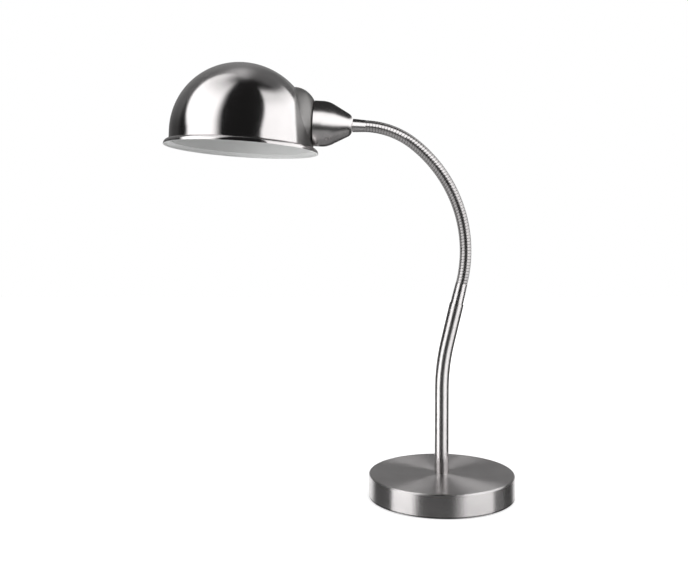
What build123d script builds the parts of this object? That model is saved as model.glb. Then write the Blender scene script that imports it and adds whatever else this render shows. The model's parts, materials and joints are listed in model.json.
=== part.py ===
"""Desk lamp with a weighted round base, a bent stem, a ribbed flexible neck and a dome shade.

Millimetres, +Z up. The origin is the middle of the foot pad's underside. The lamp stands in the XZ plane,
with the stem on the Z axis at its foot and the shade out towards -X.
"""

import os
from math import acos, atan2, cos, degrees, radians, sin, sqrt, tan

from build123d import *

# Base
BASE_DIAMETER = 150.0
BASE_HEIGHT = 24.0
BASE_DRAFT = 0.7
BASE_EDGE_RADIUS = 1.6
COVER_WALL = 1.2
COVER_LIFT = 1.0
PAD_THICKNESS = 2.0
PAD_INSET = 2.5
PLATE_THICKNESS = 1.2
WASHER_DIAMETER = 24.0
WASHER_THICKNESS = 1.5
NUT_HEIGHT = 4.0
NUT_ACROSS_FLATS = 14.0
NUT_CHAMFER = 0.8
STUD_DIAMETER = 10.0
STUD_BORE = 6.0
STUD_PLUG = 14.0
STUD_TAIL = 1.0
STUD_ROOM = 1.1
INLET_BORE = 5.0
INLET_COLLAR = 1.2
INLET_FLANGE_DIAMETER = 10.0
INLET_FLANGE = 1.6

# Stem
STEM_DIAMETER = 14.6
STEM_WALL = 1.2
STEM_STRAIGHT_LENGTH = 86.8
STEM_BEND_RADIUS = 205.0
STEM_LEAN = 13.2
STEM_RUN_LENGTH = 41.7

# Flexible neck, with a plain ferrule at each end
NECK_DIAMETER = 11.8
NECK_BORE = 6.0
NECK_SPANS = 10
NECK_SIDES = 12
NECK_RADIUS_LOW = 138.0
NECK_TURN_LOW = 64.7
NECK_RADIUS_HIGH = 84.8
RIBS_PER_SPAN = 9
RIB_DEPTH = 0.65
SPAN_GAP = 2.6
SPIGOT_DIAMETER = 7.4
SPIGOT_REACH = 0.6
SOCKET_DIAMETER = 9.0
SOCKET_DEPTH = 3.0
LOW_FERRULE_LENGTH = 22.1
LOW_FERRULE_DIAMETER = 13.2
LOW_FERRULE_PLUG = 12.0
HIGH_FERRULE_LENGTH = 14.0
HIGH_FERRULE_DIAMETER = 13.4
FERRULE_NECK_DIAMETER = 12.0

# Head: cup, shade, lampholder and bulb, on one axis that leaves the neck
HEAD_TILT = 3.0
CUP_DIAMETER = 45.3
CUP_STRAIGHT_LENGTH = 7.9
CUP_SHOULDER_RADIUS = 25.0
CUP_CONE_ANGLE = 28.5
CUP_CONE_LENGTH = 14.5
CUP_NOSE_LENGTH = 4.5
CUP_NOSE_DIAMETER = 14.2
CUP_NOSE_WALL = 2.0
CUP_WALL = 1.2
CUP_OVERLAP_LENGTH = 1.3
SHADE_RADIUS = 71.9
SHADE_SKIRT_HEIGHT = 8.9
SHADE_LIP_RADIUS = 5.2
SHADE_WALL = 1.0
SHADE_DROP_HEIGHT = 16.1
BOSS_ROUNDING_RADIUS = 22.0
BOSS_FACE_RADIUS = 12.8
BOSS_HEIGHT = 1.5
HOLDER_DIAMETER = 27.0
HOLDER_WALL = 2.2
HOLDER_REAR_GAP = 16.0
HOLDER_REAR_WALL = 4.0
HOLDER_FRONT_LENGTH = 13.5
HOLDER_FLANGE_DIAMETER = 34.0
HOLDER_FLANGE = 2.0
INSERT_LENGTH = 12.0
SCREW_SHELL_DIAMETER = 16.0
SCREW_SHELL_WALL = 0.7
SCREW_SHELL_INSET = 1.0
CONTACT_DIAMETER = 6.0
CONTACT_THICKNESS = 1.8
TERMINAL_DIAMETER = 2.4
TERMINAL_DEPTH = 5.0
TERMINAL_HEIGHT = 1.0
TERMINAL_SPACING = 19.2
RING_DIAMETER = 38.0
RING_FACE_WIDTH = 1.5
RING_LENGTH = 6.0
RING_BEVEL_WIDTH = 2.0
CAP_DIAMETER = 13.9
CAP_LENGTH = 18.0
CAP_TIP_DIAMETER = 7.0
CAP_TIP_LENGTH = 1.8
BULB_DIAMETER = 35.0
BULB_NECK_DIAMETER = 15.0
BULB_BELLY_LENGTH = 27.0
BULB_LENGTH = 75.0
BULB_TIP_DIAMETER = 7.0
BULB_WALL = 0.8

# Clearances
SLIP = 0.1
HOLE_SLIP = 0.2
RIM_GAP = 0.5


def export(part, name):
    """Label a finished piece and write it."""
    part.label = name
    export_step(part, f"parts/{name}.step")


def tube(plane, length, outer, inner):
    """A plain tube that stands on a plane, by its two diameters."""
    with BuildPart() as piece:
        with BuildSketch(plane):
            Circle(outer / 2)
            Circle(inner / 2, mode=Mode.SUBTRACT)
        extrude(amount=length)
    return piece.part


def rod(plane, length, diameter):
    """A plain rod that stands on a plane."""
    with BuildPart() as piece:
        with BuildSketch(plane):
            Circle(diameter / 2)
        extrude(amount=length)
    return piece.part


def hex_nut(plane, bore):
    """A hexagon nut that stands on a plane, with the corners of its free face turned off."""
    with BuildPart() as nut:
        with BuildSketch(plane):
            RegularPolygon(NUT_ACROSS_FLATS / 2, 6, major_radius=False)
            Circle(bore / 2, mode=Mode.SUBTRACT)
        extrude(amount=NUT_HEIGHT)
        free_face = nut.faces().sort_by(Axis(plane.origin, plane.z_dir))[-1]
        chamfer(free_face.outer_wire().edges(), NUT_CHAMFER)
    return nut.part


# The route of the stem and the neck, in the lamp's plane
with BuildLine(Plane.XZ) as stem_line:
    rise = Line((0, BASE_HEIGHT), (0, BASE_HEIGHT + STEM_STRAIGHT_LENGTH))
    lean = JernArc(rise @ 1, rise % 1, STEM_BEND_RADIUS, -STEM_LEAN)
    run = Line(lean @ 1, (lean @ 1) + (lean % 1) * STEM_RUN_LENGTH)
stem_end = run @ 1
stem_way = run % 1
neck_start = stem_end + stem_way * LOW_FERRULE_LENGTH

neck_turn_high = 90 - HEAD_TILT + STEM_LEAN - NECK_TURN_LOW
with BuildLine(Plane.XZ) as neck_line:
    low_arc = JernArc(neck_start, stem_way, NECK_RADIUS_LOW, NECK_TURN_LOW)
    high_arc = JernArc(low_arc @ 1, low_arc % 1, NECK_RADIUS_HIGH, neck_turn_high)
neck_route = neck_line.wires()[0]
neck_joints = [neck_route @ (k / NECK_SPANS) for k in range(NECK_SPANS + 1)]
neck_end = neck_joints[-1]

# The head's frame: local X runs from the neck to the shade and is the axis of the cup, and local Y is up
head_way = Vector(-cos(radians(HEAD_TILT)), 0, sin(radians(HEAD_TILT)))
HEAD = Plane(origin=neck_end, x_dir=head_way, z_dir=(0, 1, 0))
head_axis = Axis(neck_end, head_way)


def head_plane(distance):
    """A plane square to the head's axis, at a distance from the neck."""
    return Plane(origin=neck_end + head_way * distance, x_dir=(0, 1, 0), z_dir=head_way)


os.makedirs("parts", exist_ok=True)

# Base: a drafted cover over an iron weight, held to the stem by a hollow stud, a washer and a nut
cover_radius = BASE_DIAMETER / 2
cover_height = BASE_HEIGHT - COVER_LIFT
cover_lean = tan(radians(BASE_DRAFT))
stud_hole = STUD_DIAMETER + HOLE_SLIP
plate_top = PAD_THICKNESS + PLATE_THICKNESS
stud_bottom = plate_top + STUD_ROOM
washer_bottom = stud_bottom + STUD_TAIL + NUT_HEIGHT
weight_bottom = washer_bottom + WASHER_THICKNESS
weight_thickness = BASE_HEIGHT - COVER_WALL - weight_bottom
inlet_height = (plate_top + weight_bottom) / 2
INLET = Plane(origin=(0, cover_radius, inlet_height), x_dir=(1, 0, 0), z_dir=(0, 1, 0))
inlet_hole = INLET_BORE + 2 * INLET_COLLAR

with BuildPart() as base_cover:
    with BuildSketch(Plane.XY.offset(COVER_LIFT)):
        Circle(cover_radius)
    extrude(amount=cover_height, taper=BASE_DRAFT)
    fillet(base_cover.faces().sort_by(Axis.Z)[-1].edges(), BASE_EDGE_RADIUS)
    offset(amount=-COVER_WALL, openings=base_cover.faces().sort_by(Axis.Z)[0])
    with BuildSketch(Plane.XY.offset(BASE_HEIGHT)):
        Circle(stud_hole / 2)
    extrude(amount=-2 * COVER_WALL, mode=Mode.SUBTRACT)
    with BuildSketch(INLET):
        Circle(inlet_hole / 2 + SLIP)
    extrude(amount=-3 * COVER_WALL, mode=Mode.SUBTRACT)
export(base_cover.part, "base_cover")

weight_radius = cover_radius - cover_height * cover_lean - COVER_WALL - RIM_GAP
base_weight = tube(Plane.XY.offset(weight_bottom), weight_thickness, 2 * weight_radius, stud_hole)
export(base_weight, "base_weight")

base_washer = tube(Plane.XY.offset(washer_bottom), WASHER_THICKNESS, WASHER_DIAMETER, stud_hole)
export(base_washer, "base_washer")

base_nut = hex_nut(Plane.XY.offset(washer_bottom).rotated((180, 0, 0)), STUD_DIAMETER + 2 * SLIP)
export(base_nut, "base_nut")

plate_radius = cover_radius - (plate_top - COVER_LIFT) * cover_lean - COVER_WALL - SLIP
bottom_plate = rod(Plane.XY.offset(PAD_THICKNESS), PLATE_THICKNESS, 2 * plate_radius)
export(bottom_plate, "bottom_plate")

foot_pad = rod(Plane.XY, PAD_THICKNESS, BASE_DIAMETER - 2 * PAD_INSET)
export(foot_pad, "foot_pad")

stem_bore = STEM_DIAMETER - 2 * STEM_WALL
with BuildPart() as stem_stud:
    with BuildSketch(Plane.XY.offset(stud_bottom)):
        Circle(STUD_DIAMETER / 2)
    extrude(amount=BASE_HEIGHT - stud_bottom)
    with BuildSketch(Plane.XY.offset(BASE_HEIGHT)):
        Circle(stem_bore / 2 - SLIP)
    extrude(amount=STUD_PLUG)
    with BuildSketch(Plane.XY.offset(BASE_HEIGHT + STUD_PLUG)):
        Circle(STUD_BORE / 2)
    extrude(amount=-BASE_HEIGHT - STUD_PLUG, mode=Mode.SUBTRACT)
export(stem_stud.part, "stem_stud")

with BuildPart() as cord_inlet:
    with BuildSketch(INLET.offset(SLIP)):
        Circle(INLET_FLANGE_DIAMETER / 2)
    extrude(amount=INLET_FLANGE)
    with BuildSketch(INLET.offset(SLIP)):
        Circle(inlet_hole / 2)
    extrude(amount=-COVER_WALL - 2 * SLIP)
    with BuildSketch(INLET.offset(SLIP + INLET_FLANGE)):
        Circle(INLET_BORE / 2)
    extrude(amount=-INLET_FLANGE - COVER_WALL - 2 * SLIP, mode=Mode.SUBTRACT)
export(cord_inlet.part, "cord_inlet")

# Stem: a bent tube, and the ferrule that takes the neck's first span
with BuildPart() as stem_tube:
    with BuildSketch(Plane.XY.offset(BASE_HEIGHT)):
        Circle(STEM_DIAMETER / 2)
        Circle(stem_bore / 2, mode=Mode.SUBTRACT)
    sweep(path=stem_line.wires()[0])
export(stem_tube.part, "stem_tube")

STEM_TOP = Plane(origin=stem_end, x_dir=(0, 1, 0), z_dir=stem_way)
low_ferrule_top = LOW_FERRULE_LENGTH - SPAN_GAP / 2
with BuildPart() as low_ferrule:
    with BuildSketch(STEM_TOP):
        Circle(LOW_FERRULE_DIAMETER / 2)
    with BuildSketch(STEM_TOP.offset(low_ferrule_top)):
        Circle(FERRULE_NECK_DIAMETER / 2)
    loft()
    with BuildSketch(STEM_TOP):
        Circle(stem_bore / 2 - SLIP)
    extrude(amount=-LOW_FERRULE_PLUG)
    with BuildSketch(STEM_TOP.offset(-LOW_FERRULE_PLUG)):
        Circle(NECK_BORE / 2)
    extrude(amount=LOW_FERRULE_PLUG + low_ferrule_top, mode=Mode.SUBTRACT)
    with BuildSketch(STEM_TOP.offset(low_ferrule_top)):
        Circle(SOCKET_DIAMETER / 2)
    extrude(amount=-SOCKET_DEPTH, mode=Mode.SUBTRACT)
export(low_ferrule.part, "low_ferrule")

# Neck: short ribbed spans, each with a spigot that stands in the socket of the span below. The hose has
# flat sides, so that its many ribs stay light, and the gaps leave room for the bend
span_length = min((b - a).length for a, b in zip(neck_joints, neck_joints[1:]))
ribbed_length = span_length - SPAN_GAP
half_rib = ribbed_length / RIBS_PER_SPAN / 2
spigot_end = SPAN_GAP / 2 + SPIGOT_REACH

with BuildPart() as span:
    for k in range(2 * RIBS_PER_SPAN + 1):
        with BuildSketch(Plane.XY.offset(SPAN_GAP / 2 + k * half_rib)):
            RegularPolygon(NECK_DIAMETER / 2 - (RIB_DEPTH if k % 2 == 0 else 0), NECK_SIDES)
    loft(ruled=True)
    with BuildSketch(Plane.XY.offset(SPAN_GAP / 2)):
        RegularPolygon(SPIGOT_DIAMETER / 2, NECK_SIDES)
    extrude(amount=-SPAN_GAP / 2 - spigot_end)
    with BuildSketch(Plane.XY.offset(-spigot_end)):
        RegularPolygon(NECK_BORE / 2, NECK_SIDES)
    extrude(amount=spigot_end + span_length, mode=Mode.SUBTRACT)
    with BuildSketch(Plane.XY.offset(span_length - SPAN_GAP / 2)):
        RegularPolygon(SOCKET_DIAMETER / 2, NECK_SIDES, major_radius=False)
    extrude(amount=-SOCKET_DEPTH, mode=Mode.SUBTRACT)

for k, (foot, top) in enumerate(zip(neck_joints, neck_joints[1:])):
    with BuildPart(Plane(origin=foot, x_dir=(0, 1, 0), z_dir=top - foot)) as neck_span:
        add(span.part)
    export(neck_span.part, f"neck_span_{k + 1:02d}")

# The upper ferrule, whose threaded end goes through the cup's nose into the lampholder
cup_nose = HIGH_FERRULE_LENGTH
holder_rear = cup_nose + HOLDER_REAR_GAP
thread_end = holder_rear + HOLDER_REAR_WALL - RIM_GAP
with BuildPart() as high_ferrule:
    with BuildSketch(head_plane(SPAN_GAP / 2)):
        Circle(FERRULE_NECK_DIAMETER / 2)
    with BuildSketch(head_plane(cup_nose)):
        Circle(HIGH_FERRULE_DIAMETER / 2)
    loft()
    with BuildSketch(head_plane(SPAN_GAP / 2)):
        Circle(SPIGOT_DIAMETER / 2)
    extrude(amount=-SPAN_GAP / 2 - spigot_end)
    with BuildSketch(head_plane(cup_nose)):
        Circle(STUD_DIAMETER / 2)
    extrude(amount=thread_end - cup_nose)
    with BuildSketch(head_plane(-spigot_end)):
        Circle(NECK_BORE / 2)
    extrude(amount=spigot_end + thread_end, mode=Mode.SUBTRACT)
export(high_ferrule.part, "high_ferrule")

head_nut = hex_nut(head_plane(cup_nose + CUP_NOSE_WALL), STUD_DIAMETER + 2 * SLIP)
export(head_nut, "head_nut")

# Cup: a spun cover with a straight mouth, a round shoulder, a cone and a round nose
cup_radius = CUP_DIAMETER / 2
cone = radians(CUP_CONE_ANGLE)
cone_start = cup_nose + CUP_NOSE_LENGTH
cone_end = cone_start + CUP_CONE_LENGTH
shoulder_end = cone_end + CUP_SHOULDER_RADIUS * sin(cone)
cup_mouth = shoulder_end + CUP_STRAIGHT_LENGTH
cone_end_radius = cup_radius - CUP_SHOULDER_RADIUS * (1 - cos(cone))
cone_start_radius = cone_end_radius - CUP_CONE_LENGTH * tan(cone)
cavity_floor = cup_nose + CUP_NOSE_WALL
cone_wall = CUP_WALL / cos(cone)
cavity_floor_radius = cone_start_radius - (cone_start - cavity_floor) * tan(cone) - cone_wall

with BuildPart() as cup:
    with BuildSketch(HEAD):
        with BuildLine():
            Line((cup_nose, 0), (cup_nose, CUP_NOSE_DIAMETER / 2))
            TangentArc((cone_start, cone_start_radius), (cup_nose, CUP_NOSE_DIAMETER / 2),
                       tangent=(-cos(cone), -sin(cone)))
            Line((cone_start, cone_start_radius), (cone_end, cone_end_radius))
            TangentArc((shoulder_end, cup_radius), (cone_end, cone_end_radius), tangent=(-1, 0))
            Polyline((shoulder_end, cup_radius), (cup_mouth, cup_radius), (cup_mouth, 0), (cup_nose, 0))
        make_face()
    revolve(axis=head_axis)
    with BuildSketch(HEAD):
        Polygon((cavity_floor, 0), (cavity_floor, cavity_floor_radius),
                (cone_end, cone_end_radius - cone_wall), (shoulder_end, cup_radius - CUP_WALL),
                (cup_mouth, cup_radius - CUP_WALL), (cup_mouth, 0), align=None)
    revolve(axis=head_axis, mode=Mode.SUBTRACT)
    with BuildSketch(head_plane(cup_nose)):
        Circle(stud_hole / 2)
    extrude(amount=2 * CUP_NOSE_WALL, mode=Mode.SUBTRACT)
export(cup.part, "cup")

# Shade: a spun dome with a short skirt, a quarter-round lip, and a round boss that sits on the holder
boss_face = cup_mouth - CUP_OVERLAP_LENGTH
boss_centre = boss_face + BOSS_ROUNDING_RADIUS
dome_centre = boss_face + BOSS_HEIGHT + SHADE_RADIUS
dome_origin = HEAD.from_local_coords((dome_centre, -SHADE_DROP_HEIGHT))
DOME = Plane(origin=dome_origin, x_dir=-head_way, z_dir=(0, -1, 0))
dome_axis = Axis(DOME.origin, DOME.y_dir)
rim_level = -SHADE_SKIRT_HEIGHT - SHADE_LIP_RADIUS


def dome_form(inset):
    """The dome, its skirt and its lip as one solid, drawn in from the outside by a wall."""
    side = SHADE_RADIUS - inset
    lip = SHADE_LIP_RADIUS - inset
    lip_top = rim_level + sqrt(lip**2 - inset**2)
    lip_middle = (SHADE_RADIUS + lip * sqrt(0.5), rim_level + lip * sqrt(0.5))
    with BuildPart() as dome:
        with BuildSketch(DOME):
            with BuildLine():
                CenterArc((0, 0), side, 0, 90)
                Line((side, 0), (side, lip_top))
                ThreePointArc((side, lip_top), lip_middle, (SHADE_RADIUS + lip, rim_level))
                Polyline((SHADE_RADIUS + lip, rim_level), (0, rim_level), (0, side))
            make_face()
        revolve(axis=dome_axis)
    return dome.part


def boss_form(inset):
    """The rounded boss as a solid of its own, from the skirt's foot upwards, drawn in by a wall."""
    face = boss_face + inset
    rounding = BOSS_ROUNDING_RADIUS - inset
    corner = (boss_centre - rounding * sqrt(0.5), BOSS_FACE_RADIUS + rounding * sqrt(0.5))
    with BuildPart() as boss:
        with BuildSketch(HEAD):
            with BuildLine():
                Line((face, 0), (face, BOSS_FACE_RADIUS))
                ThreePointArc((face, BOSS_FACE_RADIUS), corner, (boss_centre, BOSS_FACE_RADIUS + rounding))
                Polyline((boss_centre, BOSS_FACE_RADIUS + rounding), (boss_centre, 0), (face, 0))
            make_face()
        revolve(axis=head_axis)
        split(bisect_by=Plane(origin=DOME.from_local_coords((0, -SHADE_SKIRT_HEIGHT)), z_dir=DOME.y_dir))
    return boss.part


with BuildPart() as shade:
    add([dome_form(0), boss_form(0)])
    add([dome_form(SHADE_WALL), boss_form(SHADE_WALL)], mode=Mode.SUBTRACT)
    with BuildSketch(head_plane(boss_face)):
        Circle(HOLDER_DIAMETER / 2 + HOLE_SLIP)
    extrude(amount=2 * SHADE_WALL, mode=Mode.SUBTRACT)
export(shade.part, "shade")

# Lampholder: a flanged sleeve that a ring clamps to the shade, with its contacts inside
holder_radius = HOLDER_DIAMETER / 2
holder_bore = holder_radius - HOLDER_WALL
insert_rear = holder_rear + HOLDER_REAR_WALL
insert_front = insert_rear + INSERT_LENGTH
holder_front = boss_face + HOLDER_FRONT_LENGTH
flange_front = boss_face - SLIP

with BuildPart() as holder_sleeve:
    with BuildSketch(head_plane(holder_rear)):
        Circle(holder_radius)
    extrude(amount=holder_front - holder_rear)
    with BuildSketch(head_plane(flange_front)):
        Circle(HOLDER_FLANGE_DIAMETER / 2)
    extrude(amount=-HOLDER_FLANGE)
    with BuildSketch(head_plane(holder_front)):
        Circle(holder_bore)
    extrude(amount=insert_rear - holder_front, mode=Mode.SUBTRACT)
    with BuildSketch(head_plane(holder_rear)):
        Circle(stud_hole / 2)
    extrude(amount=HOLDER_REAR_WALL, mode=Mode.SUBTRACT)
export(holder_sleeve.part, "holder_sleeve")

terminal_places = GridLocations(TERMINAL_SPACING, 0, 2, 1).locations
with BuildPart() as holder_insert:
    with BuildSketch(head_plane(insert_rear)):
        Circle(holder_bore - SLIP)
    extrude(amount=INSERT_LENGTH)
    with BuildSketch(head_plane(insert_front)):
        with Locations(*terminal_places):
            Circle(TERMINAL_DIAMETER / 2 + SLIP)
    extrude(amount=-TERMINAL_DEPTH, mode=Mode.SUBTRACT)
export(holder_insert.part, "holder_insert")

with BuildPart() as terminal_screws:
    with BuildSketch(head_plane(insert_front - TERMINAL_DEPTH)):
        with Locations(*terminal_places):
            Circle(TERMINAL_DIAMETER / 2)
    extrude(amount=TERMINAL_DEPTH + TERMINAL_HEIGHT)
export(terminal_screws.part, "terminal_screws")

screw_shell_length = holder_front - SCREW_SHELL_INSET - insert_front
screw_shell_bore = SCREW_SHELL_DIAMETER - 2 * SCREW_SHELL_WALL
screw_shell = tube(head_plane(insert_front), screw_shell_length, SCREW_SHELL_DIAMETER, screw_shell_bore)
export(screw_shell, "screw_shell")

centre_contact = rod(head_plane(insert_front), CONTACT_THICKNESS, CONTACT_DIAMETER)
export(centre_contact, "centre_contact")

ring_rear = boss_face + SHADE_WALL + SLIP
ring_front = ring_rear + RING_LENGTH
ring_bore = holder_radius + SLIP
with BuildPart() as shade_ring:
    with BuildSketch(HEAD):
        Polygon((ring_rear, ring_bore), (ring_rear, BOSS_FACE_RADIUS + RING_FACE_WIDTH),
                (ring_rear + RING_BEVEL_WIDTH, RING_DIAMETER / 2), (ring_front, RING_DIAMETER / 2),
                (ring_front, ring_bore), align=None)
    revolve(axis=head_axis)
export(shade_ring.part, "shade_ring")

# Bulb: a candle lamp with a small screw cap
tip_rear = insert_front + CONTACT_THICKNESS + SLIP
cap_rear = tip_rear + CAP_TIP_LENGTH
glass_rear = cap_rear + CAP_LENGTH

with BuildPart() as bulb_cap:
    with BuildSketch(head_plane(tip_rear)):
        Circle(CAP_TIP_DIAMETER / 2)
    with BuildSketch(head_plane(cap_rear)):
        Circle(CAP_DIAMETER / 2)
    loft()
    with BuildSketch(head_plane(cap_rear)):
        Circle(CAP_DIAMETER / 2)
    extrude(amount=CAP_LENGTH)
export(bulb_cap.part, "bulb_cap")

# The glass has a round belly and a round tip with a cone that touches both, and a cone down to the cap
belly_radius = BULB_DIAMETER / 2
tip_radius = BULB_TIP_DIAMETER / 2
belly_centre = glass_rear + BULB_BELLY_LENGTH
tip_centre = glass_rear + BULB_LENGTH - tip_radius
flame = degrees(acos((belly_radius - tip_radius) / (tip_centre - belly_centre)))
neck_reach = sqrt(BULB_BELLY_LENGTH**2 + (BULB_NECK_DIAMETER / 2) ** 2)
neck_lean = atan2(BULB_NECK_DIAMETER / 2, BULB_BELLY_LENGTH)
neck_touch = 180 - degrees(neck_lean + acos(belly_radius / neck_reach))


def bulb_form(inset):
    """The glass as one solid, drawn in from the outside by a wall."""
    neck_radius = BULB_NECK_DIAMETER / 2 - inset / sin(radians(neck_touch))
    with BuildPart() as bulb:
        with BuildSketch(HEAD):
            with BuildLine():
                belly = CenterArc((belly_centre, 0), belly_radius - inset, flame, neck_touch - flame)
                tip = CenterArc((tip_centre, 0), tip_radius - inset, 0, flame)
                Line(tip @ 1, belly @ 0)
                Polyline(belly @ 1, (glass_rear, neck_radius), (glass_rear, 0), tip @ 0)
            make_face()
        revolve(axis=head_axis)
    return bulb.part


with BuildPart() as bulb_glass:
    add(bulb_form(0))
    add(bulb_form(BULB_WALL), mode=Mode.SUBTRACT)
export(bulb_glass.part, "bulb_glass")
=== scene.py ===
# %% [markdown]
# # Dressing a gooseneck desk lamp
#
# The lamp comes to Blender as finished solids: a weighted base, a bent stem, ten short spans of flexible neck, and
# a head with a cup, a dome shade and a bulb. Each solid is already at its true place and size, in metres. The work
# here is the surface: how nickel is brushed, how a wound hose catches light, and what the metal has to reflect.

# %% The frame
import json
import math

import bmesh
import bpy
from mathutils import Matrix, Vector

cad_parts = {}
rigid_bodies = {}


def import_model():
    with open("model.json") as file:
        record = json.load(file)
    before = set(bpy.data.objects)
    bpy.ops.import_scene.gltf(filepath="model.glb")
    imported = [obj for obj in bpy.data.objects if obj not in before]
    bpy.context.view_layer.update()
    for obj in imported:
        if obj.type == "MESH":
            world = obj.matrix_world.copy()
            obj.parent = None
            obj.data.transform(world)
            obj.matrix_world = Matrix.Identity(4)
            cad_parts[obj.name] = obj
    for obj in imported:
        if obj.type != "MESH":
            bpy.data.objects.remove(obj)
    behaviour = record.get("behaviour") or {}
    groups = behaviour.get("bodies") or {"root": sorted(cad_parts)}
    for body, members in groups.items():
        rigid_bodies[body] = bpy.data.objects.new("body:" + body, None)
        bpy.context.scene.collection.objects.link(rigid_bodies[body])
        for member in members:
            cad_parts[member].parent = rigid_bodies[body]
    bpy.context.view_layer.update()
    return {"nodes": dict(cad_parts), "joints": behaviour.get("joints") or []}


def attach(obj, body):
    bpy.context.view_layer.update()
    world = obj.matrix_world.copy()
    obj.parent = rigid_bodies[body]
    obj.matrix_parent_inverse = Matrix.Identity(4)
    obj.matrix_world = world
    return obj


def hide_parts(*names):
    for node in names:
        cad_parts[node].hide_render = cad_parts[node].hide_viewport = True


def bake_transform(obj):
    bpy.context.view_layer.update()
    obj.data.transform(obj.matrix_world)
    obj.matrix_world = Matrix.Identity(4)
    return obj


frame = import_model()
nodes = frame["nodes"]
joints = frame["joints"]
scene = bpy.context.scene
scene.view_settings.view_transform = "Standard"
print("solids:", len(nodes), "joints:", len(joints))

# %% [markdown]
# ## The camera
#
# A picture taken with a short lens from below the shade and above the base shows the shade's inside and the base's
# top at once. The camera stands where both ellipses come out right. It looks almost level, and the frame is moved
# sideways with the lens's shift, because turning the camera instead would lean the stem.

# %% Camera
PHOTO_WIDTH = 688
FOCAL_PIXELS = 800
AXIS_PIXEL = 377.9
SENSOR_WIDTH = 36
CAMERA_PLACE = Vector((-0.06554, -0.81411, 0.25868))
CAMERA_PITCH = math.radians(2.85)

camera_data = bpy.data.cameras.new("camera")
camera_data.sensor_width = SENSOR_WIDTH
camera_data.lens = FOCAL_PIXELS / PHOTO_WIDTH * SENSOR_WIDTH
camera_data.shift_x = (PHOTO_WIDTH / 2 - AXIS_PIXEL) / PHOTO_WIDTH
camera = bpy.data.objects.new("camera", camera_data)
camera.location = CAMERA_PLACE
camera.rotation_euler = (math.pi / 2 - CAMERA_PITCH, 0, 0)
scene.collection.objects.link(camera)
scene.camera = camera
print("lens", round(camera_data.lens, 2), "mm, shift", round(camera_data.shift_x, 4))

# %% [markdown]
# ## Shader sums in plain Python
#
# A material is a graph of nodes, and most of its nodes are arithmetic. Placing each Math node by hand hides the
# formula. So one small class stands for the output of a node, and adding or multiplying two of them adds the Math
# node that does it. Every other kind of node comes from one method, which takes the node's type, its settings and
# what goes into its sockets.


# %% A value
class Value:
    """The output of a shader node, ready for ordinary arithmetic."""

    def __init__(self, graph, socket):
        self.graph = graph
        self.socket = socket

    def math(self, operation, *others):
        """A Math node on this value and others."""
        return self.graph.node("ShaderNodeMath", {"operation": operation}, {0: self, **dict(enumerate(others, 1))})

    def __add__(self, other):
        return self.math("ADD", other)

    __radd__ = __add__

    def __mul__(self, other):
        return self.math("MULTIPLY", other)

    __rmul__ = __mul__

    def __sub__(self, other):
        return self.math("SUBTRACT", other)

    def __rsub__(self, other):
        return self.graph.node("ShaderNodeMath", {"operation": "SUBTRACT"}, {0: other, 1: self})

    def __neg__(self):
        return self.math("MULTIPLY", -1)

    def __truediv__(self, other):
        return self.math("DIVIDE", other)

    def over(self, low, high):
        """A smooth step from 0 at low to 1 at high."""
        settings = {"interpolation_type": "SMOOTHSTEP"}
        return self.graph.node("ShaderNodeMapRange", settings, {"Value": self, "From Min": low, "From Max": high})


# %% A graph
MIX_COLOURS = (6, 7)
MIX_RESULT = 2


class Graph:
    """The node tree of a material or of the world."""

    def __init__(self, tree):
        self.tree = tree

    def node(self, kind, settings=None, sockets=None, output=0):
        """Any node, by its type, its settings, what goes into its sockets, and which output is wanted."""
        made = self.tree.nodes.new(kind)
        for name, setting in (settings or {}).items():
            setattr(made, name, setting)
        for key, value in (sockets or {}).items():
            if isinstance(value, Value):
                self.tree.links.new(value.socket, made.inputs[key])
            else:
                made.inputs[key].default_value = value
        return Value(self, made.outputs[output])

    def place(self, centre=(0, 0, 0), turn=(0, 0, 0)):
        """Object coordinates, counted from a centre and turned."""
        raw = self.node("ShaderNodeTexCoord", output="Object")
        moved = self.node("ShaderNodeVectorMath", {"operation": "SUBTRACT"}, {0: raw, 1: centre})
        return self.node("ShaderNodeMapping", {"vector_type": "POINT"}, {"Vector": moved, "Rotation": turn})

    def parts(self, vector):
        """The three numbers of a vector."""
        return [self.node("ShaderNodeSeparateXYZ", None, {0: vector}, k) for k in range(3)]

    def join(self, x, y, z):
        """A vector of three numbers."""
        return self.node("ShaderNodeCombineXYZ", None, {0: x, 1: y, 2: z})

    def noise(self, vector, scale, detail=2.0):
        """Fractal noise between 0 and 1."""
        return self.node("ShaderNodeTexNoise", None, {"Vector": vector, "Scale": scale, "Detail": detail})

    def mix(self, factor, first, second):
        """A colour that goes from the first to the second."""
        sockets = {"Factor": factor, MIX_COLOURS[0]: first, MIX_COLOURS[1]: second}
        return self.node("ShaderNodeMix", {"data_type": "RGBA"}, sockets, MIX_RESULT)

    def bump(self, height, distance):
        """A normal that a height pushes about."""
        return self.node("ShaderNodeBump", None, {"Height": height, "Distance": distance, "Strength": 1.0})


# %% Finishes and pieces
def finish(name, paint):
    """A material whose surface sockets come from paint(graph), as a dictionary."""
    made = bpy.data.materials.new(name)
    made.use_nodes = True
    graph = Graph(made.node_tree)
    surface = made.node_tree.nodes["Principled BSDF"]
    for key, value in paint(graph).items():
        if isinstance(value, Value):
            made.node_tree.links.new(value.socket, surface.inputs[key])
        else:
            surface.inputs[key].default_value = value
    return made


def dress(material, *names):
    """Give CAD nodes a material."""
    for name in names:
        nodes[name].data.materials.clear()
        nodes[name].data.materials.append(material)
    print(material.name, "on", ", ".join(names))


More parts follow.
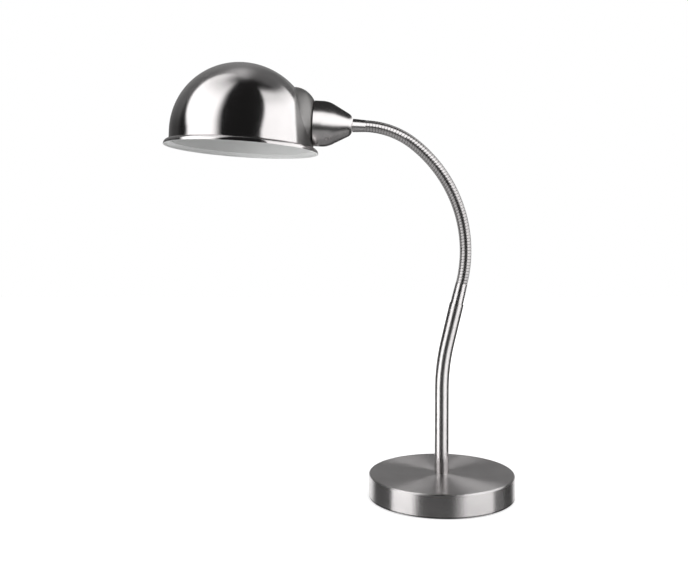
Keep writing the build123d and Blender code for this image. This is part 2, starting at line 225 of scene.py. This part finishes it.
# %% [markdown]
# ## The brushed base
#
# Every visible metal piece is nickel plate over steel, but each is worked in its own way. The base turns under a
# brush, so its scratches are circles. A scratch scatters light across itself and hardly along itself, which makes the
# fan of light on the top. The scratches could be modelled, but they are far too fine. The shader's anisotropy does
# the same: its built-in tangent runs round the vertical axis, and a quarter turn of the rotation lays the wide spread
# across the circles. A fine bump comes from noise that reads the distance from the axis and hardly the angle. The side
# is smoother than the top. At the foot a thin dark line is painted round the base: painted shade, where the base meets
# the floor.

# %% Base
NICKEL = (0.665, 0.644, 0.643, 1)
NICKEL_DULL = (0.605, 0.584, 0.583, 1)
FOOT_SHADE = (0.06, 0.058, 0.057, 1)
QUARTER_TURN = 0.25
BASE_TOP = 0.024
BASE_LIFT = 0.001
BASE_LINES = 900


def paint_base(graph):
    """Nickel brushed in circles, smoother down the side, with a dark line of painted shade at the foot."""
    spot = graph.place()
    x, y, z = graph.parts(spot)
    radius = (x * x + y * y).math("SQRT")
    lines = graph.noise(graph.join(radius * BASE_LINES, z * BASE_LINES, y.math("ARCTAN2", x) * 0.6), 1.0, 3.0)
    cloud = graph.noise(spot, 28.0)
    side = 1 - z.over(BASE_TOP - 0.0022, BASE_TOP - 0.001)
    # Painted shade: a thin dark band just above the foot, where the base meets the floor.
    foot = 1 - z.over(BASE_LIFT + 0.0007, BASE_LIFT + 0.0016)
    plated = graph.mix(cloud.over(0.3, 0.7), NICKEL_DULL, NICKEL)
    return {
        "Base Color": graph.mix(foot * 0.85, plated, FOOT_SHADE),
        "Metallic": 1.0,
        "Roughness": 0.38 + (lines - 0.5) * 0.07 + (cloud - 0.5) * 0.07 - side * 0.14,
        "Anisotropic": 0.9,
        "Anisotropic Rotation": QUARTER_TURN,
        "Normal": graph.bump(lines, 0.00001),
    }


dress(finish("base_nickel", paint_base), "base_cover")

# %% [markdown]
# ## The drawn stem and the turned cup
#
# The stem is a drawn tube, the cup is turned on a lathe, and both are polished afterwards, so only faint marks are
# left. Noise that is fine across the piece and long up its height gives the marks, and a slow cloud makes the polish
# uneven. The cup is polished a little further than the stem.

# %% Stem and cup
MARKS_ACROSS = 1400
MARKS_ALONG = 120
MARKS_DEPTH = 0.000004
POLISH_SPREAD = 0.05


def polished_nickel(name, polish):
    """Nickel on a drawn or turned piece, with a given roughness."""

    def paint(graph):
        spot = graph.place()
        x, y, z = graph.parts(spot)
        marks = graph.noise(graph.join(x * MARKS_ACROSS, y * MARKS_ACROSS, z * MARKS_ALONG), 1.0, 3.0)
        cloud = graph.noise(spot, 40.0)
        return {
            "Base Color": graph.mix(cloud.over(0.3, 0.7), NICKEL_DULL, NICKEL),
            "Metallic": 1.0,
            "Roughness": polish + (marks - 0.5) * POLISH_SPREAD + (cloud - 0.5) * POLISH_SPREAD,
            "Normal": graph.bump(marks, MARKS_DEPTH),
        }

    return finish(name, paint)


dress(polished_nickel("stem_nickel", 0.25), "stem_tube", "low_ferrule")
dress(polished_nickel("cup_nickel", 0.24), "cup", "high_ferrule")

# %% [markdown]
# ## The hose's plating
#
# A strip of steel wound into a hose leaves a narrow groove between the turns, which lies in shade. So the nickel
# there is painted dark, as painted shade, and its finish is made rougher. A pattern of stripes could paint that, but
# it would slide where the hose is bent. So each vertex of the hose will carry its own depth in the groove as an
# attribute, and the material reads it.

# %% Hose plating
GROOVE_SHADE = (0.1, 0.096, 0.095, 1)
GRIT = 2600.0


def paint_hose(graph):
    """Nickel on the winding, darkened by painted shade down in its groove, where the finish is also rougher."""
    spot = graph.place()
    grit = graph.noise(spot, GRIT)
    cloud = graph.noise(spot, 40.0)
    depth = graph.node("ShaderNodeAttribute", {"attribute_name": "groove"}, output="Fac")
    # Painted shade: the deeper a point lies in the groove, the darker its nickel; its roughness rises there too.
    groove = depth.over(0.25, 0.8)
    plated = graph.mix(cloud.over(0.3, 0.7), NICKEL_DULL, NICKEL)
    return {
        "Base Color": graph.mix(groove * 0.7, plated, GROOVE_SHADE),
        "Metallic": 1.0,
        "Roughness": 0.2 + (grit - 0.5) * 0.06 + (cloud - 0.5) * 0.06 + groove * 0.2,
        "Normal": graph.bump(grit, 0.000004),
    }


hose_nickel = finish("hose_nickel", paint_hose)
print(hose_nickel.name, "has", len(hose_nickel.node_tree.nodes), "nodes")

# %% [markdown]
# ## The shade's two faces
#
# The dome is spun from one sheet: nickel outside and white enamel inside. The solid is one piece with a real wall, so
# a material can tell the faces apart by distance alone. Inside the dome a point is nearer to the dome's centre than
# the middle of the wall is, and inside the skirt it is nearer to the axis. At the flared lip the distance is
# measured from the ring that the lip's quarter round turns about. The head leans three degrees, so these sums are
# made in the head's own axes.

# %% The dome's centre
HEAD_TILT = math.radians(3)
DOME_ALONG = 0.12493
DOME_DROP = 0.0161

head_way = Vector((-math.cos(HEAD_TILT), 0, math.sin(HEAD_TILT)))
head_up = Vector((math.sin(HEAD_TILT), 0, math.cos(HEAD_TILT)))
neck_end = Vector(joints[-1]["pos_m"])
dome_centre = neck_end + head_way * DOME_ALONG - head_up * DOME_DROP
print("dome centre", [round(c, 4) for c in dome_centre])

# %% Shade
DOME_RADIUS = 0.0719
SHADE_WALL = 0.001
SKIRT = 0.0089
LIP = 0.0052
SHADE_LINES = 700
ENAMEL = (0.81, 0.815, 0.81, 1)
ENAMEL_GREY = (0.76, 0.765, 0.76, 1)
BOSS_SHADE_LOW = (0.2, 0.197, 0.194, 1)
BOSS_SHADE_HIGH = (0.28, 0.275, 0.27, 1)


def shade_inside(x, y, z):
    """1 on the shade's inner face and 0 on its outer one."""
    across = x * x + y * y
    radius = across.math("SQRT")
    reach = (across + z * z).math("SQRT")
    from_ring_out = radius - DOME_RADIUS
    from_ring_up = z + (SKIRT + LIP)
    from_ring = (from_ring_out * from_ring_out + from_ring_up * from_ring_up).math("SQRT")
    in_dome = reach.math("LESS_THAN", DOME_RADIUS - SHADE_WALL / 2) * z.math("GREATER_THAN", 0)
    in_skirt = radius.math("LESS_THAN", DOME_RADIUS - SHADE_WALL / 2) * z.math("LESS_THAN", 0)
    in_lip = from_ring.math("LESS_THAN", LIP - SHADE_WALL / 2) * z.math("LESS_THAN", -SKIRT)
    return in_dome.math("MAXIMUM", in_skirt).math("MAXIMUM", in_lip)


def paint_shade(graph):
    """Spun nickel outside, with painted shade on the boss at the side, which is also rougher, and enamel inside."""
    spot = graph.place(tuple(dome_centre), (0, -HEAD_TILT, 0))
    x, y, z = graph.parts(spot)
    inside = shade_inside(x, y, z)
    radius = (x * x + y * y).math("SQRT")
    lines = graph.noise(graph.join(radius * SHADE_LINES, z * SHADE_LINES, y.math("ARCTAN2", x) * 0.6), 1.0, 3.0)
    cloud = graph.noise(spot, 22.0)
    peel = graph.noise(spot, 420.0)

    # Painted shade on the boss: its nickel is darkened, darkest at the bottom, and its finish is rougher as well.
    boss = (x + z * 0.12).over(0.0575, 0.0605) * z.over(-SKIRT - 0.0005, -SKIRT + 0.0005)
    boss_shade = graph.mix(z.over(0.002, 0.014), BOSS_SHADE_LOW, BOSS_SHADE_HIGH)
    plated = graph.mix(cloud.over(0.3, 0.7), NICKEL_DULL, NICKEL)
    metal = graph.mix(boss * 0.9, plated, boss_shade)
    metal_rough = 0.14 + (lines - 0.5) * 0.08 + (cloud - 0.5) * 0.04 + boss * 0.36
    enamel = graph.mix(cloud.over(0.3, 0.7), ENAMEL_GREY, ENAMEL)
    enamel_rough = 0.32 + (cloud - 0.5) * 0.06
    height = lines * 0.1 + (peel - lines * 0.1) * inside
    return {
        "Base Color": graph.mix(inside, metal, enamel),
        "Metallic": 1 - inside,
        "Roughness": metal_rough + (enamel_rough - metal_rough) * inside,
        "Anisotropic": 0.6,
        "Anisotropic Rotation": QUARTER_TURN,
        "Normal": graph.bump(height, 0.00003),
    }


dress(finish("shade_nickel_and_enamel", paint_shade), "shade")

# %% [markdown]
# ## What the lamp hides
#
# The base holds an iron weight, the head a lampholder and a bulb. Few views show them, but a part that is taken
# out and looked at should still be right: raw iron is pitted, zinc plate is bright with a faint yellow, and the foot
# pad is a soft black foam. All of them are a grain in two close colours, so one function makes them.


# %% Plain finishes
def grained(name, dark, light, rough, scale, depth, **sockets):
    """A finish with two close colours, an uneven gloss and a grain of a given scale."""

    def paint(graph):
        spot = graph.place()
        grain = graph.noise(spot, scale, 4.0)
        cloud = graph.noise(spot, scale / 9)
        return {
            "Base Color": graph.mix((grain * 0.6 + cloud * 0.4).over(0.3, 0.7), dark, light),
            "Roughness": rough + (grain - 0.5) * 0.16,
            "Normal": graph.bump(grain, depth),
            **sockets,
        }

    return finish(name, paint)


METAL = {"Metallic": 1.0}
iron = grained("cast_iron", (0.05, 0.05, 0.052, 1), (0.13, 0.125, 0.12, 1), 0.65, 700, 0.0002, Metallic=0.7)
zinc = grained("zinc_plate", (0.5, 0.5, 0.5, 1), (0.63, 0.61, 0.55, 1), 0.34, 500, 0.00002, **METAL)
plate_paint = grained("black_paint", (0.02, 0.02, 0.021, 1), (0.035, 0.035, 0.036, 1), 0.5, 900, 0.00004)
foam = grained("foam_pad", (0.012, 0.012, 0.013, 1), (0.03, 0.03, 0.031, 1), 0.85, 1300, 0.00012)
bush_plastic = grained("bush_plastic", (0.02, 0.02, 0.021, 1), (0.03, 0.03, 0.031, 1), 0.42, 1100, 0.00003)
white_plastic = grained("holder_plastic", (0.78, 0.78, 0.75, 1), (0.85, 0.85, 0.82, 1), 0.3, 600, 0.00002)
ceramic = grained("insert_ceramic", (0.72, 0.71, 0.68, 1), (0.8, 0.79, 0.76, 1), 0.45, 800, 0.00003)
brass = grained("brass", (0.6, 0.43, 0.17, 1), (0.78, 0.58, 0.25, 1), 0.28, 500, 0.00002, **METAL)
cap_metal = grained("bulb_cap_metal", (0.66, 0.66, 0.66, 1), (0.8, 0.8, 0.79, 1), 0.3, 500, 0.00002, **METAL)
opal = grained("opal_glass", (0.86, 0.86, 0.83, 1), (0.92, 0.92, 0.89, 1), 0.3, 200, 0.00001,
               **{"Transmission Weight": 0.35, "IOR": 1.5})

dress(iron, "base_weight")
dress(zinc, "base_nut", "base_washer", "stem_stud", "head_nut")
dress(plate_paint, "bottom_plate")
dress(foam, "foot_pad")
dress(bush_plastic, "cord_inlet")
dress(white_plastic, "holder_sleeve", "shade_ring")
dress(ceramic, "holder_insert")
dress(brass, "terminal_screws", "screw_shell", "centre_contact")
dress(cap_metal, "bulb_cap")
dress(opal, "bulb_glass")

# %% [markdown]
# ## The gooseneck's route
#
# The neck leaves the leaning stem and bends over to the head on two arcs, a wide one and then a tighter one. A curve
# object could carry the hose, but two arcs are easy to work out: at any distance along the neck, a function gives its
# middle and the direction away from the bend. The end has to meet the head's joint, which is a good test.

# %% The neck's route
STEM_LEAN = math.radians(13.2)
NECK_RADIUS_LOW = 0.138
NECK_TURN_LOW = math.radians(64.7)
NECK_RADIUS_HIGH = 0.0848

neck_start = Vector(joints[0]["pos_m"])
low_length = NECK_RADIUS_LOW * NECK_TURN_LOW
high_turn = math.pi / 2 - HEAD_TILT + STEM_LEAN - NECK_TURN_LOW
neck_length = low_length + NECK_RADIUS_HIGH * high_turn


def outward(lean):
    """The direction away from the bend's centre, where the neck leans by an angle to the left."""
    return Vector((math.cos(lean), 0, math.sin(lean)))


def neck_place(along):
    """The neck's middle at a distance from its start, and the direction away from the bend there."""
    start, lean, radius, run = neck_start, -STEM_LEAN, NECK_RADIUS_LOW, along
    if along > low_length:
        start = neck_place(low_length)[0]
        lean, radius, run = NECK_TURN_LOW - STEM_LEAN, NECK_RADIUS_HIGH, along - low_length
    turned = lean + run / radius
    return start + (outward(turned) - outward(lean)) * radius, outward(turned)


end_miss = (neck_place(neck_length)[0] - neck_end).length
print("neck", round(neck_length * 1000, 1), "mm, end off by", round(end_miss * 1e6, 1), "um")

# %% [markdown]
# ## The winding
#
# A gooseneck is a strip of steel wound into a tight hose, so its ribs are one long helix with a narrow groove between
# the turns. It could be rings on a tube, but a real one shows the slight slope of the winding where it catches light.
# One vertex at the bottom of the groove is extruded up its wall, spun into the strip's shallow crown, and extruded
# down the next wall. The winding is a second spin, which rises by a pitch for each turn. Each turn's last edge meets
# the next turn's first edge, so merging doubles closes the hose, and edges that fold sharply are marked sharp.

# %% The strip's section
HOSE_RADIUS = 0.0059
RIB_PITCH = 0.00303
GROOVE_DEPTH = 0.0004
GROOVE_WIDTH = 0.0004
CROWN_HEIGHT = 0.00005
CROWN_STEPS = 6

winding = bmesh.new()


def drawn_on(vertex, place):
    """A new vertex at a place, joined to an old one by an edge."""
    made = bmesh.ops.extrude_vert_indiv(winding, verts=[vertex])["verts"][0]
    made.co = place
    return made


foot = winding.verts.new((HOSE_RADIUS - GROOVE_DEPTH, 0, 0))
shoulder = drawn_on(foot, (HOSE_RADIUS - CROWN_HEIGHT, 0, GROOVE_WIDTH / 2))
half_crown = (RIB_PITCH - GROOVE_WIDTH) / 2
crown_turn = 2 * math.atan(CROWN_HEIGHT / half_crown)
crown_centre = (HOSE_RADIUS - half_crown / math.sin(crown_turn), 0, RIB_PITCH / 2)
crown = bmesh.ops.spin(winding, geom=[shoulder], cent=crown_centre, axis=(0, -1, 0), angle=2 * crown_turn,
                       steps=CROWN_STEPS)
far_shoulder = next(part for part in crown["geom_last"] if isinstance(part, bmesh.types.BMVert))
drawn_on(far_shoulder, (HOSE_RADIUS - GROOVE_DEPTH, 0, RIB_PITCH))
print("section:", len(winding.verts), "points")

# %% A length of winding
TURN_STEPS = 40
SPARE_TURNS = 3
SHARP = math.radians(30)

span = neck_length / (len(joints) - 1)
turns = math.ceil(2 * span / RIB_PITCH) + SPARE_TURNS
bmesh.ops.spin(winding, geom=winding.verts[:] + winding.edges[:], cent=(0, 0, 0), axis=(0, 0, 1),
               dvec=(0, 0, RIB_PITCH / TURN_STEPS), angle=2 * math.pi * turns, steps=TURN_STEPS * turns)
bmesh.ops.remove_doubles(winding, verts=winding.verts[:], dist=RIB_PITCH / 100)
bmesh.ops.recalc_face_normals(winding, faces=winding.faces[:])
for edge in winding.edges:
    edge.smooth = edge.calc_face_angle(0) < SHARP
print("winding:", turns, "turns,", len(winding.faces), "faces")

# %% [markdown]
# ## The hose in lengths
#
# The neck's eleven joints turn by a few degrees each, one in the lamp's plane and the next across it. A length of hose
# covers two spans, with a joint that sways in its middle. The other joints are where two lengths meet, or where one
# meets a ferrule. One winding serves every length: screwed up by any distance, a helix runs on in its own track.
# Each length is cut from it by two planes, closed with end caps and then laid on the neck's arcs.


# %% Cutting and laying
def show(name, form, material):
    """An object in the scene, from a finished bmesh."""
    mesh = bpy.data.meshes.new(name)
    form.to_mesh(mesh)
    form.free()
    mesh.materials.append(material)
    made = bpy.data.objects.new(name, mesh)
    scene.collection.objects.link(made)
    return made


def smooth_sides(form):
    """Smooth shading on all faces but the end caps."""
    for face in form.faces:
        face.smooth = len(face.verts) <= 4


def cut_winding(low, high):
    """A closed stretch of winding between two heights."""
    first_turn = low - RIB_PITCH
    lifted = Matrix.Translation((0, 0, first_turn))
    screwed = Matrix.Rotation(2 * math.pi * first_turn / RIB_PITCH, 4, "Z")
    piece = winding.copy()
    bmesh.ops.transform(piece, matrix=lifted @ screwed, verts=piece.verts[:])
    for level, side in ((low, -1), (high, 1)):
        bmesh.ops.bisect_plane(piece, geom=piece.verts[:] + piece.edges[:] + piece.faces[:], plane_co=(0, 0, level),
                               plane_no=(0, 0, side), clear_outer=True)
    rims = [edge for edge in piece.edges if edge.is_boundary]
    for edge in rims:
        edge.smooth = False
    bmesh.ops.holes_fill(piece, edges=rims)
    smooth_sides(piece)
    return piece


def lay_on_neck(piece):
    """Bend a straight stretch along the neck, with each vertex's depth in the groove kept."""
    groove = piece.verts.layers.float.new("groove")
    for vert in piece.verts:
        vert[groove] = (HOSE_RADIUS - vert.co.xy.length) / GROOVE_DEPTH
        middle, out = neck_place(vert.co.z)
        vert.co = middle + out * vert.co.x + Vector((0, vert.co.y, 0))


# %% The five lengths
FERRULE_GAP = 0.0013

chain = [joint["parent"] for joint in joints] + [joints[-1]["child"]]
lengths = (len(joints) - 1) // 2


def hose_length(k):
    """The stretch of hose over two spans; the first and the last also fill the gap to a ferrule."""
    low = 2 * k * span if k > 0 else -FERRULE_GAP
    high = 2 * (k + 1) * span if k < lengths - 1 else neck_length + FERRULE_GAP
    piece = cut_winding(low, high)
    lay_on_neck(piece)
    made = show(f"hose_{k + 1}", piece, hose_nickel)
    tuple(neck_place(low)[0])
    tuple(neck_place(high)[0])
    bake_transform(made)
    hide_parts(f"neck_span_{2 * k + 1:02d}", f"neck_span_{2 * k + 2:02d}")
    return made


hoses = [hose_length(k) for k in range(lengths)]
winding.free()
print("hose lengths:", len(hoses), "faces:", sum(len(piece.data.polygons) for piece in hoses))

# %% [markdown]
# ## The core in the joints
#
# Where the turns open, a real gooseneck shows its inside, dark in shade. A barrel sits in the hose at each such joint
# and stands in for that shade: it takes the groove's dark colour, as painted shade. It is spun from an arc about the
# joint's middle, so it turns in place, and nothing shows of it while the neck is at rest. A tube could fill the gap
# too, but its end would come through the hose as the joint turns.

# %% Cores
CORE_RADIUS = 0.0054
CORE_ARC = math.radians(110)
CORE_STEPS = 12


def core(k):
    """The barrel in the joint at the foot of a length, or at the head."""
    middle, out = neck_place(2 * k * span)
    along = Vector((-out.z, 0, out.x))
    stance = Matrix((out, Vector((0, 1, 0)), along)).transposed().to_4x4()
    barrel = bmesh.new()
    edge_way = Vector((math.cos(CORE_ARC / 2), 0, -math.sin(CORE_ARC / 2)))
    rim = barrel.verts.new(edge_way * CORE_RADIUS)
    bmesh.ops.spin(barrel, geom=[rim], cent=(0, 0, 0), axis=(0, -1, 0), angle=CORE_ARC, steps=CORE_STEPS)
    bmesh.ops.spin(barrel, geom=barrel.verts[:] + barrel.edges[:], cent=(0, 0, 0), axis=(0, 0, 1),
                   angle=2 * math.pi, steps=TURN_STEPS, use_merge=True)
    bmesh.ops.holes_fill(barrel, edges=[edge for edge in barrel.edges if edge.is_boundary])
    bmesh.ops.recalc_face_normals(barrel, faces=barrel.faces[:])
    bmesh.ops.transform(barrel, matrix=Matrix.Translation(middle) @ stance, verts=barrel.verts[:])
    # Full depth in the groove: the whole barrel takes the groove's painted shade.
    groove = barrel.verts.layers.float.new("groove")
    for vert in barrel.verts:
        vert[groove] = 1
    smooth_sides(barrel)
    made = show(f"hose_core_{k + 1}", barrel, hose_nickel)
    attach(made, chain[2 * k + 1])
    return made


cores = [core(k) for k in range(lengths + 1)]
print("cores:", len(cores))

# %% [markdown]
# ## The studio
#
# Polished metal has no colour of its own to show, only its surroundings. The lamp stands in a tent: a black slit in
# front where the camera looks in, a bright panel at each side, and greys behind and above. Lamps and cards could be
# set up one by one, but a tent is easier to shape: it is a sphere that only reflections see, painted by the compass
# direction and the height of each point, both in degrees. The dark slit is what makes a dome look like metal.

# %% Directions
TENT_CENTRE = Vector((-0.1, 0, 0.22))
TENT_RADIUS = 1.6


def compass(graph, radius):
    """Degrees round from the front, to the right, and degrees up, of a point on a tent."""
    x, y, z = graph.parts(graph.place())
    turn = x.math("ARCTAN2", -y) * math.degrees(1)
    rise = (z / radius).math("ARCSINE") * math.degrees(1)
    return turn, rise


print("tent", round(2 * TENT_RADIUS, 2), "m across")

# %% The tent's panels
LEFT_GLOW = 2.3
LEFT_GLOW_LOST = 0.55
RIGHT_GLOW = 1.5
ROOF_GLOW = 0.33
REAR_PANEL_GLOW = 0.9
TABLE_GLOW = 0.24


def side_panels(turn, rise):
    """The white panels at the left and the right, each with its own edges and top."""
    left = -turn
    climb = rise.math("MAXIMUM", 0)
    high = rise.over(-12, 0)
    left_end = 84 - 11 * high + climb * 0.7
    left_top = (1 - rise.over(66, 84)) * (1 - 0.5 * rise.over(44, 72))
    left_panel = (left + high * 9).over(33, 50) * (1 - (left - left_end).over(-4, 4)) * left_top
    right_high = (turn - climb * 0.35).over(28, 35) * (1 - (turn - climb * 0.74).over(96, 106))
    right_low = turn.over(12, 40) * (1 - turn.over(76, 85))
    right_top = (1 - (rise + turn * 0.2).over(73, 84)) * (1 - 0.3 * rise.over(38, 54))
    right_panel = (right_low + (right_high - right_low) * high) * right_top
    return (left_panel * (LEFT_GLOW - LEFT_GLOW_LOST * high) + right_panel * RIGHT_GLOW) * rise.over(-30, -19)


def paint_tent(graph):
    """Two panels with a dark slit between them, and greys behind and above."""
    turn, rise = compass(graph, TENT_RADIUS)
    x, y = graph.parts(graph.place())[:2]
    away = turn.math("ABSOLUTE")
    on_left = 1 - (x / TENT_RADIUS).over(-0.14, 0.12)
    rear = (0.05 + 0.14 * away.over(112, 165)) * (1 - 0.6 * (1 - on_left) * rise.over(28, 46))
    rear = rear + 0.09 * rise.over(10, 30)
    rear_panel = REAR_PANEL_GLOW * away.over(126, 150) * rise.over(-34, -24) * (1 - rise.over(-8, 2))
    front = 0.014 + 0.05 * (1 - rise.over(-6, 4))
    table = TABLE_GLOW * (1 - rise.over(-36, -24))
    roof = ROOF_GLOW * rise.over(58, 74) * on_left * (y / TENT_RADIUS).over(-0.16, 0.1)
    plain = front + (rear - front) * away.over(95, 110) + rear_panel + roof + table
    return plain + side_panels(turn, rise)


# %% Pitching a tent
def glow(name, paint, veil):
    """A material that only shines; the light behind it comes through a veil, by that much."""
    made = bpy.data.materials.new(name)
    made.use_nodes = True
    made.node_tree.nodes.clear()
    graph = Graph(made.node_tree)
    light = graph.node("ShaderNodeEmission", None, {"Color": paint(graph)})
    behind = graph.node("ShaderNodeBsdfTransparent", None, {"Color": (veil, veil, veil, 1)})
    both = graph.node("ShaderNodeAddShader", None, {0: light, 1: behind})
    out = made.node_tree.nodes.new("ShaderNodeOutputMaterial")
    made.node_tree.links.new(both.socket, out.inputs["Surface"])
    return made


def pitch_tent(name, centre, radius, paint, veil):
    """A sphere round the lamp that only its reflections see."""
    form = bmesh.new()
    bmesh.ops.create_uvsphere(form, u_segments=48, v_segments=24, radius=radius)
    made = show(name, form, glow(name + "_light", paint, veil))
    made.location = centre
    made.visible_camera = False
    made.visible_diffuse = False
    made.visible_shadow = False
    made.visible_volume_scatter = False
    return made


tent = pitch_tent("tent", TENT_CENTRE, TENT_RADIUS, paint_tent, 0)
print(tent.name, "stands at", [round(c, 2) for c in tent.location])

# %% [markdown]
# ## Tents for the hose
#
# The bent hose turns from upright to level, and each part of it looks at another part of its surroundings: the foot
# at the two sides, the top end straight up. A tent of its own has a dark patch straight ahead, white at the right and
# above, and a left side that goes from white to grey further down. The two highest lengths have tents of the same
# kind, with the white brought further down in front. Light linking shares the pieces out, so that each sees one tent.

# %% The hose's tents
HOSE_TENT_CENTRE = Vector((0.05, 0, 0.35))
# A tent's radius, the degrees by which its white comes down, and the lengths it lights.
HOSE_TENTS = ((1.4, 0, hoses[:3]), (1.35, 6, hoses[3:4]), (1.3, 17, hoses[4:]))


def hose_light(radius, drop):
    """The paint of a hose tent, whose white comes down by some degrees in front."""

    def paint(graph):
        turn, rise = compass(graph, radius)
        away = turn.math("ABSOLUTE")
        left = -turn
        above = (rise + drop * (1 - turn.over(-4, 16))).over(10, 24)
        white = above.math("MAXIMUM", turn.over(16, 58)) * rise.over(-32, -10) * (1 - rise.over(40, 62))
        right_panel = white * (1.6 - 0.55 * turn.over(44, 66))
        left_white = 0.45 + 0.95 * rise.over(-24, 10)
        left_panel = left.over(14, 48) * (1 - left.over(78, 96)) * left_white * (1 - rise.over(30, 50))
        table = 0.3 * (1 - rise.over(-36, -14))
        front = 0.03 + right_panel.math("MAXIMUM", left_panel).math("MAXIMUM", table)
        rear = (0.4 + 0.2 * turn.over(-20, 20)) * (1 - 0.7 * away.over(146, 166))
        return front + (rear - front) * away.over(100, 116)

    return paint


def share(light, name, pieces):
    """Let a tent light only these pieces."""
    group = bpy.data.collections.new(name)
    for piece in pieces:
        group.objects.link(piece)
    light.light_linking.receiver_collection = group
    print(light.name, "lights", len(pieces), "pieces")


for number, (radius, drop, pieces) in enumerate(HOSE_TENTS, 1):
    hose_tent = pitch_tent(f"hose_tent_{number}", HOSE_TENT_CENTRE, radius, hose_light(radius, drop), 1)
    share(hose_tent, f"hose_pieces_{number}", pieces)

# %% [markdown]
# ## A tent for the cup
#
# The cup and its ferrule lie across the view, and the photograph shows bands that run along them: dark on top, a
# white stripe, a thin dark line and grey below. A ring of white round the front does that. An inner tent is a veil that
# lets the light of the outer ones through, because a lamp that isn't linked to a piece would still stand in its way.

# %% The level tent
LEVEL_CENTRE = Vector((-0.12, 0, 0.385))
LEVEL_RADIUS = 1.2
LEVEL_GLOW = 1.6


def paint_level(graph):
    """Bands by height, from dark through white and a dark line to grey."""
    turn, rise = compass(graph, LEVEL_RADIUS)
    away = turn.math("ABSOLUTE")
    behind = away.over(92, 104)
    lean = rise + turn.math("MINIMUM", 0)
    white = lean.over(-20, -6) * (1 - (rise + away * 0.18).over(46, 58))
    grey = (1 - rise.over(-46, -34)) * (0.32 - 0.12 * behind)
    return 0.035 + white * LEVEL_GLOW + grey


level_tent = pitch_tent("level_tent", LEVEL_CENTRE, LEVEL_RADIUS, paint_level, 1)
level_pieces = [nodes["high_ferrule"], nodes["cup"]]
standing_pieces = [node for node in nodes.values() if node not in level_pieces]
share(level_tent, "level_pieces", level_pieces)
share(tent, "standing_pieces", standing_pieces + cores)

# %% [markdown]
# ## The white floor
#
# The lamp stands on white paper that runs up behind it, as in a catalogue picture. Bright lamps could make the paper
# white, but they would wash out the lamp as well. So the floor is a plain grid that glows for the camera: it stays
# white, and still takes a soft shadow near the foot. It's hidden from the metal's reflections, which the tents supply.

# %% Floor
FLOOR_SIZE = 6.0
FLOOR_NEAR = 0.1
FLOOR_FAR = 0.5
SEEN_RAYS = ("Is Camera Ray", "Is Glossy Ray", "Is Transmission Ray")


def seen(graph):
    """1 where the camera looks, also by a reflection or through glass, and 0 for light on its way to a surface."""
    direct, reflected, through = [graph.node("ShaderNodeLightPath", output=ray) for ray in SEEN_RAYS]
    return direct.math("MAXIMUM", reflected).math("MAXIMUM", through)


def paint_floor(graph):
    """White to the camera, with the shadow that falls on it."""
    x, y = graph.parts(graph.place())[:2]
    far = (x * x + y * y).math("SQRT").over(FLOOR_NEAR, FLOOR_FAR)
    return {
        "Base Color": (0.8, 0.8, 0.8, 1),
        "Roughness": 1.0,
        "Specular IOR Level": 0.0,
        "Emission Color": seen(graph) * (0.62 + 0.5 * far),
        "Emission Strength": 1.0,
    }


floor_form = bmesh.new()
bmesh.ops.create_grid(floor_form, x_segments=1, y_segments=1, size=FLOOR_SIZE / 2)
floor = show("floor", floor_form, finish("floor", paint_floor))
floor.visible_glossy = False
print("floor", FLOOR_SIZE, "m across")

# %% [markdown]
# ## World and lamps
#
# The world is white where it is seen and dimmer as a light, so that the picture's background stays white and the
# enamel keeps its shading. Three soft area lamps light the enamel and the plastics from the left, the right and above.
# They keep out of the reflections too, because a square lamp in a dome would look like a window.

# %% World
AMBIENT = 0.32

world = bpy.data.worlds.new("studio")
scene.world = world
world.use_nodes = True
background = world.node_tree.nodes["Background"]
background.inputs["Color"].default_value = (1, 1, 1, 1)
ambient = AMBIENT + seen(Graph(world.node_tree)) * (1 - AMBIENT)
world.node_tree.links.new(ambient.socket, background.inputs["Strength"])
print("world light", AMBIENT)

# %% Lamps
LAMP_MIDDLE = Vector((-0.1, 0, 0.25))


def softbox(name, place, size, power):
    """An area lamp that lights the lamp softly and stays out of its reflections."""
    data = bpy.data.lights.new(name, "AREA")
    data.shape = "SQUARE"
    data.size = size
    data.energy = power
    made = bpy.data.objects.new(name, data)
    made.location = place
    made.rotation_euler = (LAMP_MIDDLE - Vector(place)).to_track_quat("-Z", "Y").to_euler()
    made.visible_glossy = False
    scene.collection.objects.link(made)
    print(name, "has", power, "watts")


softbox("softbox_left", (-1.2, -0.5, 0.25), 0.5, 6)
softbox("softbox_right", (1.1, -0.7, 0.9), 0.9, 5)
softbox("softbox_top", (-0.1, -0.2, 1.7), 1.2, 8)
